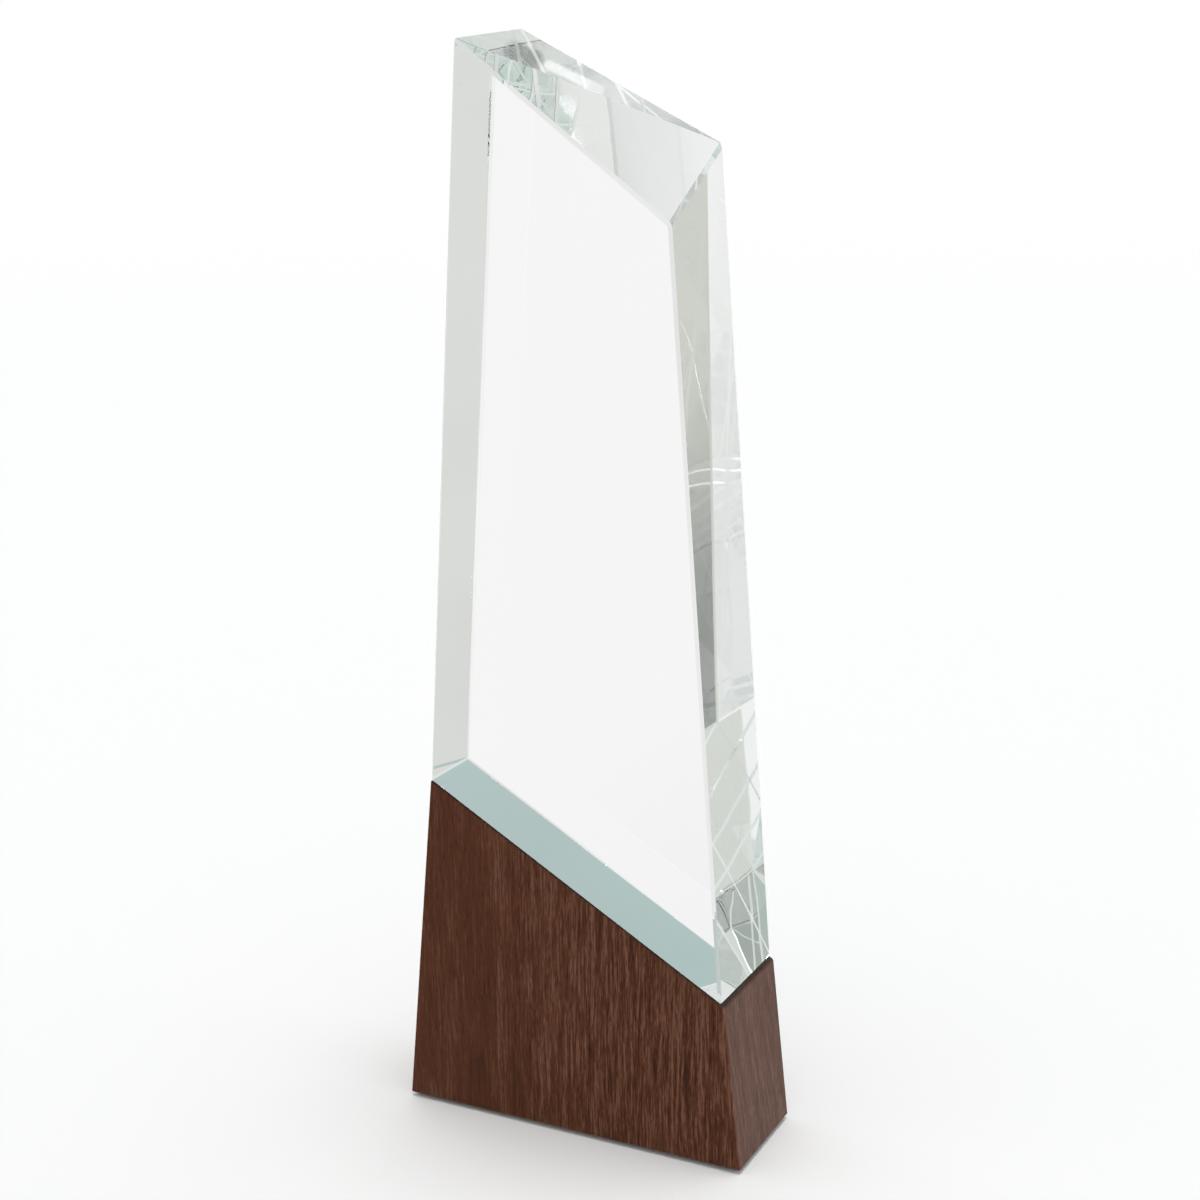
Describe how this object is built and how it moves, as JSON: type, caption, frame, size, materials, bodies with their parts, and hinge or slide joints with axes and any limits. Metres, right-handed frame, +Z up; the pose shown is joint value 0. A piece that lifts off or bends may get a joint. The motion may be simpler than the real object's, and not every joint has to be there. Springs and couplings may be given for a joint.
{
  "type": "crystal award",
  "caption": "Tall tapering crystal slab with a two-facet slanted top, bonded on a slanted joint to a tapering walnut block that stands on a thin felt pad.",
  "frame": {"origin": "centre of the underside, where the felt pad meets the surface that the award stands on", "axes": "+Z up, the broad front face looks along -Y, and the joint and the top fall from the tall left end at -X to the low right end at +X"},
  "size_m": [0.089, 0.03, 0.2573],
  "materials": {
    "optical_crystal": "polished",
    "clear_adhesive": "clear, cured",
    "oiled_walnut": "oiled, satin",
    "dark_felt": "pressed felt"
  },
  "bodies": {
    "root": {"crystal_tower": "optical_crystal", "adhesive_film": "clear_adhesive", "walnut_block": "oiled_walnut", "felt_pad": "dark_felt"}
  },
  "joints": []
}
